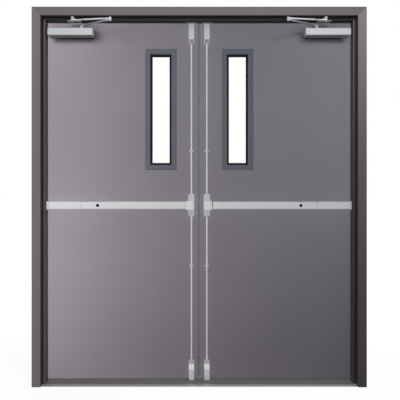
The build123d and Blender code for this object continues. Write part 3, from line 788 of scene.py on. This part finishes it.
def make_closers():
    """Closer bodies with an end plate on either side and two valve screws."""
    body = from_cad("right_closer_body", 1.0)
    settle_pair(body, "closer", "leaf", silver_body, ["closer_body"])
    low_z, high_z = closer_low[Z], closer_low[Z] + CLOSER_HEIGHT

    ends = []
    inset, past_body = 0.2, 0.6
    for x in (closer_low[X] + inset, closer_high[X] - inset - CLOSER_END_THICKNESS):
        end = block((x, closer_low[Y] + 0.1, low_z - past_body),
                    (x + CLOSER_END_THICKNESS, PUSH_Y - 0.2, high_z + past_body))
        ends.append(round_edges(end, along(X, lambda m: m.y < closer_low[Y] + 1), 1.6))
    settle_pair(joined(*ends), "closer_ends", "leaf", silver_body)

    valves = []
    from_edge, valve_radius = 12, 4.2
    x, y = closer_low[X], middle_of(closer_low, closer_high, Y)
    for z in (low_z + from_edge, high_z - from_edge):
        valve = turned((x + 1, y, z), (x - 0.6, y, z), valve_radius, 32)
        soften(valve, 0.4)
        valves.append(cut(valve, block((x - 2, y - 3, z - 0.5), (x - 0.2, y + 3, z + 0.5))))
    settle_pair(joined(*valves), "closer_valves", "leaf", zinc)


def flat_bar(points, widths, thickness):
    """A flat bar extruded through points, with a width in plan at each point."""
    start, ahead = Vector(points[0]), Vector(points[1])
    way = (ahead - start).normalized()
    bpy.ops.mesh.primitive_plane_add(
        size=1,
        location=start * MM,
        rotation=way.to_track_quat("Z", "Y").to_euler(),
    )
    obj = bpy.context.object
    obj.scale = (widths[0] * MM, thickness * MM, 1)
    bpy.ops.object.transform_apply(location=True, rotation=True, scale=True)
    select_only(obj)
    bpy.ops.object.mode_set(mode="EDIT")
    bpy.ops.mesh.select_mode(type="FACE")
    bpy.ops.mesh.select_all(action="SELECT")
    for n in range(1, len(points)):
        step = Vector(points[n]) - Vector(points[n - 1])
        growth = widths[n] / widths[n - 1] - 1
        bpy.ops.mesh.extrude_region_move(TRANSFORM_OT_translate={"value": step * MM})
        bpy.ops.transform.resize(value=(1 + growth * abs(way.y), 1 + growth * abs(way.x), 1))
    bpy.ops.mesh.select_all(action="SELECT")
    bpy.ops.mesh.normals_make_consistent(inside=False)
    leave_edit()
    return obj


def make_main_arms():
    """Main arms: a flat bar that rises from the hub on the spindle to the eye at the elbow."""
    # Distance from the spindle, height and width of the bar
    profile = ((0, 2094, 18), (9, 2094.5, 18), (17, 2099, 17), (25, 2103.5, 16), (34, 2104.5, 15),
               (120, 2104.5, 14), (201, 2104.5, 13), (209.4, 2104.5, 13))
    way = (Vector(ELBOW) - Vector(SPINDLE)).normalized()
    points = []
    for distance, z, _ in profile:
        spot = Vector(SPINDLE) + way * distance
        points.append((spot.x, spot.y, z))
    bar = flat_bar(points, [width for _, _, width in profile], 5.5)
    soften(bar, 1.2, 3, 50)
    hub = turned((*SPINDLE, HUB_LOW_Z), (*SPINDLE, HUB_HIGH_Z), HUB_RADIUS)
    soften(hub, 0.8)
    eye = turned((*ELBOW, EYE_LOW_Z), (*ELBOW, EYE_HIGH_Z), EYE_RADIUS, 36)
    soften(eye, 0.6)
    nut = turned((*ELBOW, EYE_LOW_Z - 4), (*ELBOW, EYE_LOW_Z + 0.1), 8.0, 6)
    soften(nut, 0.5)
    settle_pair(joined(bar, hub, eye, nut), "arm", "main_arm", silver_fine, ["main_arm"])


def make_forearms():
    """Forearms: a rod end on the bracket's stud, a threaded rod with its lock nut, and a tube."""
    near, far = Vector((*PIVOT, 2115.6)), Vector((*ELBOW, 2112.2))
    way = (far - near).normalized()
    thread_start, thread_end, lock_nut_start, lock_nut_end = 7, 80, 70, 76
    ridges, first_ridge, pitch, ridge_width = 30, 24, 1.6, 0.9
    thread_radius, ridge_radius, tube_radius, lock_nut_radius, bore_radius = 3.3, 3.7, 5.0, 6.2, 4.05

    parts = [
        turned(near + way * thread_start, near + way * thread_end, thread_radius, 32),
        turned(near + way * lock_nut_end, far - way * 6, tube_radius),
    ]
    soften(parts[1], 1.2)
    for n in range(ridges):
        ridge = near + way * (first_ridge + n * pitch)
        parts.append(turned(ridge, ridge + way * ridge_width, ridge_radius, 24))
    lock_nut = turned(near + way * lock_nut_start, near + way * lock_nut_end, lock_nut_radius, 6)
    soften(lock_nut, 0.4)

    shoe = block((-10.5, -5.2, 0), (10.5, 5.2, 26))
    pick(shoe, facing(Z, 1))
    bpy.ops.transform.resize(value=(0.42, 0.8, 1))
    leave_edit()
    shoe.data.transform(Matrix.Translation(near * MM) @ way.to_track_quat("Z", "Y").to_matrix().to_4x4())
    soften(shoe, 1.4, 3)
    rod_end = turned((*PIVOT, ROD_END_LOW_Z), (*PIVOT, ROD_END_HIGH_Z), ROD_END_RADIUS)
    soften(rod_end, 1.0, 3)
    for solid in (shoe, rod_end):
        cut(solid, turned((*PIVOT, ROD_END_LOW_Z - 10), (*PIVOT, ROD_END_HIGH_Z + 12), bore_radius))
    elbow_cap = turned((*ELBOW, ELBOW_CAP_LOW_Z), (*ELBOW, ELBOW_CAP_HIGH_Z), EYE_RADIUS)
    soften(elbow_cap, 1.2, 3)
    forearm = joined(*parts, lock_nut, shoe, rod_end, elbow_cap)
    settle_pair(forearm, "rear_arm", "forearm", silver_fine, ["forearm"])


def make_brackets():
    brackets = from_cad("closer_brackets", 0.5)
    settle_on_frame(brackets, "brackets", silver_shaded, ["closer_brackets"])


def make_hinges():
    leaves = from_cad("right_leaf_hinges", 0.4)
    settle_pair(leaves, "hinge_leaves", "leaf", plain_steel, ["leaf_hinges"])
    plates = from_cad("frame_hinges", 0.4)
    settle_on_frame(plates, "hinge_plates", plain_steel, ["frame_hinges"])


def make_strikes():
    strikes = from_cad("top_strikes", 0.3)
    settle_on_frame(strikes, "strikes", plain_steel, ["top_strikes"])


def make_silencers():
    buttons = from_cad("silencers", 0.8)
    settle_on_frame(buttons, "silencer_buttons", black_rubber, ["silencers"])


def make_threshold():
    """The threshold, with a thin black sheet under either bolt hole as painted shade of the hole."""
    pit_half, pit_height = 8.5, 0.5
    saddle = from_cad("threshold", 0.6)
    settle_on_frame(saddle, "saddle", mill_aluminium, ["threshold"])
    pits = [block((x - pit_half, ROD_Y - pit_half, 0), (x + pit_half, ROD_Y + pit_half, pit_height))
            for x in (-ROD_X, ROD_X)]
    settle_on_frame(joined(*pits), "bolt_pits", soot_black)


def make_rod_set(end, way, start_z, tip_z, latch_end_z, steps, plate_shade_material):
    """Rods of one end with the latch cases that they run into."""
    bolt_z = make_rods(end, way, start_z, tip_z)
    make_latches(end, way, latch_end_z, bolt_z, steps)
    make_latch_plates(end, way, latch_end_z, steps, plate_shade_material)


make_leaf_skins()
make_meeting_seals()
make_vision_lites()
make_rail_covers()
make_end_caps()
make_rail_channels()
make_push_pads()
make_dogging_cups()
make_centre_housings()
make_centre_heads()
make_rod_guides()
make_rod_set("top", 1, top_rod_low[Z], top_rod_high[Z], top_latch_high[Z], TOP_LATCH_STEPS, dull_zinc)
make_rod_set("bottom", -1, bottom_rod_high[Z], bottom_rod_low[Z], bottom_latch_low[Z], BOTTOM_LATCH_STEPS,
             pale_zinc)
make_latch_shoulders()
make_closers()
make_main_arms()
make_forearms()
make_brackets()
make_hinges()
make_strikes()
make_silencers()
make_threshold()


# Studio. From here on, places and sizes are in metres

def seen_by_camera(tree):
    """1 for rays from the camera, straight on, through glass or off a shiny face, and 0 for others."""
    paths = tree.nodes.new("ShaderNodeLightPath")
    found = paths.outputs["Is Camera Ray"]
    for kind in ("Is Transmission Ray", "Is Glossy Ray"):
        either = tree.nodes.new("ShaderNodeMath")
        either.operation = "MAXIMUM"
        tree.links.new(found, either.inputs[0])
        tree.links.new(paths.outputs[kind], either.inputs[1])
        found = either.outputs[0]
    return found


def make_floor():
    """A dull floor that looks nearly white from the camera, a little darker near the door."""
    near_glow, far_glow, near_distance, far_distance = 0.92, 1.0, 1.2, 3.0
    bpy.ops.mesh.primitive_plane_add(size=60, location=(0, 0, 0))
    floor = bpy.context.object
    floor.name = "studio_floor"
    look = Finish("floor_look")
    distance = look.nodes.new("ShaderNodeVectorMath")
    distance.operation = "LENGTH"
    look.links.new(look.place, distance.inputs[0])
    glow = look.nodes.new("ShaderNodeEmission")
    strength = look.ranged(distance.outputs["Value"], near_glow, far_glow, near_distance, far_distance)
    look.links.new(strength, glow.inputs["Strength"])
    plain = look.nodes.new("ShaderNodeBsdfDiffuse")
    plain.inputs["Color"].default_value = (0.15, 0.15, 0.15, 1)
    both = look.nodes.new("ShaderNodeAddShader")
    look.links.new(glow.outputs[0], both.inputs[0])
    look.links.new(plain.outputs[0], both.inputs[1])
    shown = look.nodes.new("ShaderNodeMixShader")
    look.links.new(seen_by_camera(look.material.node_tree), shown.inputs["Fac"])
    look.links.new(plain.outputs[0], shown.inputs[1])
    look.links.new(both.outputs[0], shown.inputs[2])
    look.links.new(shown.outputs[0], look.nodes["Material Output"].inputs["Surface"])
    floor.data.materials.append(look.material)


def make_backdrop():
    """White to the camera, and a faint cool light on everything else."""
    world = bpy.data.worlds.new("studio")
    bpy.context.scene.world = world
    world.use_nodes = True
    tree = world.node_tree
    backdrop = tree.nodes["Background"]
    backdrop.inputs["Color"].default_value = (1, 1, 1, 1)
    room = tree.nodes.new("ShaderNodeBackground")
    room.inputs["Color"].default_value = (0.9, 0.95, 1, 1)
    room.inputs["Strength"].default_value = 0.05
    shown = tree.nodes.new("ShaderNodeMixShader")
    tree.links.new(seen_by_camera(tree), shown.inputs["Fac"])
    tree.links.new(room.outputs[0], shown.inputs[1])
    tree.links.new(backdrop.outputs[0], shown.inputs[2])
    tree.links.new(shown.outputs[0], tree.nodes["World Output"].inputs["Surface"])


make_floor()
make_backdrop()


# Groups of pieces that the lamps light one by one

OVERHEAD_WORDS = ("closer", "arm", "bracket")
SKIN_WORDS = ("leaf_skin", "lite", "gasket", "meeting_seal", "hinge_leaves")
FRAME_NAMES = ("left_jamb", "right_jamb", "frame_head", "saddle", "strikes", "hinge_plates",
               "silencer_buttons", "bolt_pits", "studio_floor", "wall_anchors", "floor_anchors")


def named_with(pieces, words):
    return [piece for piece in pieces if any(word in piece.name for word in words)]


def group(name, pieces):
    gathered = bpy.data.collections.new(name)
    for piece in pieces:
        gathered.objects.link(piece)
    return gathered


shown_pieces = [obj for obj in bpy.context.scene.objects if obj.type == "MESH" and not obj.hide_render]
overhead_pieces = named_with(shown_pieces, OVERHEAD_WORDS)
frame_pieces = [piece for piece in shown_pieces if piece.name in FRAME_NAMES]
leaf_pieces = [piece for piece in shown_pieces if piece not in overhead_pieces and piece not in frame_pieces]
skin_pieces = named_with(leaf_pieces, SKIN_WORDS)
low_pieces = [piece for piece in frame_pieces if "jamb" not in piece.name and "head" not in piece.name]

overhead_group = group("overhead_pieces", overhead_pieces)
skin_group = group("leaf_skins", skin_pieces)
door_group = group("leaf_skins_and_overhead_pieces", skin_pieces + overhead_pieces)
fittings_group = group("exit_device_pieces", [piece for piece in leaf_pieces if piece not in skin_pieces])
left_jamb_group = group("left_jamb_alone", [frame["nodes"]["left_jamb"]])
right_jamb_group = group("right_jamb_alone", [frame["nodes"]["right_jamb"]])
head_group = group("head_alone", [frame["nodes"]["frame_head"]])
low_group = group("sill_and_fittings", low_pieces)


# Lamps

WHITE, COOL, WARM = (1, 1, 1), (0.82, 0.91, 0.98), (1.0, 0.93, 0.93)
SMALL, MEDIUM, LARGE = (0.6, 0.6), (0.8, 0.8), (1.0, 1.0)
BROAD, TALL, BACK = (1.2, 0.6), (0.5, 2.4), (1.2, 1.8)
WIDE_BEAM, NARROW_BEAM = 180, 110


def soft_lamp(name, place, aim, size, watts, lights=None, shaded_by=None, colour=WHITE, beam=WIDE_BEAM,
              mirrored_in_metal=False):
    """An area lamp of some width and height, which may light and be shaded by only some pieces."""
    light = bpy.data.lights.new(name, "AREA")
    light.shape = "RECTANGLE"
    light.size, light.size_y = size
    light.energy = watts
    light.color = colour
    light.spread = radians(beam)
    light.cycles.use_multiple_importance_sampling = mirrored_in_metal
    lamp = bpy.data.objects.new(name, light)
    lamp.location = place
    lamp.rotation_euler = (Vector(aim) - Vector(place)).to_track_quat("-Z", "Y").to_euler()
    lamp.visible_camera = False
    lamp.visible_glossy = mirrored_in_metal
    bpy.context.scene.collection.objects.link(lamp)
    if lights:
        lamp.light_linking.receiver_collection = lights
    if shaded_by:
        lamp.light_linking.blocker_collection = shaded_by


def door_lamp(name, place, aim, size, watts, **more):
    """A lamp for the leaf skins alone, on which only the overhead pieces throw shadows."""
    soft_lamp(name, place, aim, size, watts, lights=skin_group, shaded_by=overhead_group, **more)


def light_doors():
    soft_lamp("door_right_high", (1.5, -2.2, 3.2), (0.5, 0, 1.9), SMALL, 12.3, lights=door_group,
              shaded_by=overhead_group, colour=COOL, mirrored_in_metal=True)
    door_lamp("door_left_low", (-1.5, -1.2, 0.6), (-0.6, 0, 0.7), LARGE, 9.6, colour=WARM)
    door_lamp("door_left_near_low", (-1.3, -0.9, 0.6), (-0.85, 0, 0.6), MEDIUM, 6.7)
    door_lamp("door_left_near_middle", (-1.3, -0.9, 1.6), (-0.85, 0, 1.5), MEDIUM, 1.4)
    door_lamp("door_left_near_high", (-1.3, -0.9, 2.4), (-0.8, 0, 1.9), SMALL, 11.5)
    door_lamp("door_right_near_high", (1.3, -0.9, 2.4), (0.85, 0, 1.9), SMALL, 2.5, colour=COOL)
    door_lamp("door_right_middle", (1.9, -1.2, 1.4), (0.8, 0, 1.4), MEDIUM, 3.7, colour=COOL,
              beam=NARROW_BEAM)


def light_fittings():
    for name, place, aim, size, watts in (
            ("fittings_left_high", (-0.9, -1.3, 3.2), (-0.5, 0, 1.0), MEDIUM, 11.8),
            ("fittings_left", (-1.5, -2.0, 1.2), (-0.5, 0, 1.0), MEDIUM, 31.2),
            ("fittings_right", (1.5, -2.0, 1.2), (0.5, 0, 1.0), MEDIUM, 9.2),
            ("fittings_left_near", (-1.0, -0.8, 1.4), (-0.2, 0, 1.2), SMALL, 1.4)):
        soft_lamp(name, place, aim, size, watts, lights=fittings_group)


def light_overhead_pieces():
    for name, place, aim, size, watts, beam in (
            ("overhead_left", (-0.6, -2.6, 2.7), (-0.5, 0, 2.1), SMALL, 17.5, NARROW_BEAM),
            ("overhead_right", (0.6, -2.6, 2.7), (0.5, 0, 2.1), SMALL, 10.5, NARROW_BEAM),
            ("overhead_low", (0, -2.4, 1.2), (0, 0, 2.1), BROAD, 2, WIDE_BEAM)):
        soft_lamp(name, place, aim, size, watts, lights=overhead_group, shaded_by=overhead_group, beam=beam)


def light_frame():
    for name, place, aim, size, watts, lights in (
            ("left_jamb_high", (-1.2, -2.2, 3.1), (-0.93, 0, 2.47), SMALL, 44.5, left_jamb_group),
            ("left_jamb_low", (-1.2, -2.2, 0.4), (-0.93, 0, 0.58), SMALL, 21.8, left_jamb_group),
            ("left_jamb_tall", (-1.15, -2.2, 1.4), (-0.93, 0, 1.28), TALL, 5.2, left_jamb_group),
            ("right_jamb_high", (1.0, -1.2, 2.6), (0.93, 0, 1.96), SMALL, 15.4, right_jamb_group),
            ("right_jamb_middle", (1.1, -2.2, 2.4), (0.93, 0, 1.84), SMALL, 11.7, right_jamb_group),
            ("head_high", (-1.1, -2.2, 3.3), (-0.66, 0, 2.1), SMALL, 28, head_group),
            ("head_high", (1.1, -2.2, 3.3), (0.66, 0, 2.1), SMALL, 28, head_group),
            ("head_front", (0, -2.2, 2.1), (0, 0, 2.1), LARGE, 14, head_group),
            ("sill_lamp", (0.8, -2.4, 1.6), (0.1, 0, 0), LARGE, 47, low_group)):
        soft_lamp(name, place, aim, size, watts, lights=lights)


def light_back():
    soft_lamp("back_left", (-1.8, 3.0, 2.2), (0, 0, 1.2), BACK, 45)
    soft_lamp("back_right", (2.2, 3.0, 2.2), (0, 0, 1.2), BACK, 30)


light_doors()
light_fittings()
light_overhead_pieces()
light_frame()
light_back()


def place_camera():
    """The camera at the photograph's place, level and straight in front of the door."""
    before_door, height = 2.873, 1.175
    data = bpy.data.cameras.new("camera")
    data.sensor_width = 36
    data.lens = 43.8
    data.shift_x = 0.002
    data.shift_y = -0.0423
    camera = bpy.data.objects.new("camera", data)
    camera.location = (0, -before_door, height)
    camera.rotation_euler = (radians(90), 0, 0)
    bpy.context.scene.collection.objects.link(camera)
    bpy.context.scene.camera = camera
    bpy.context.scene.view_settings.view_transform = "Standard"


place_camera()
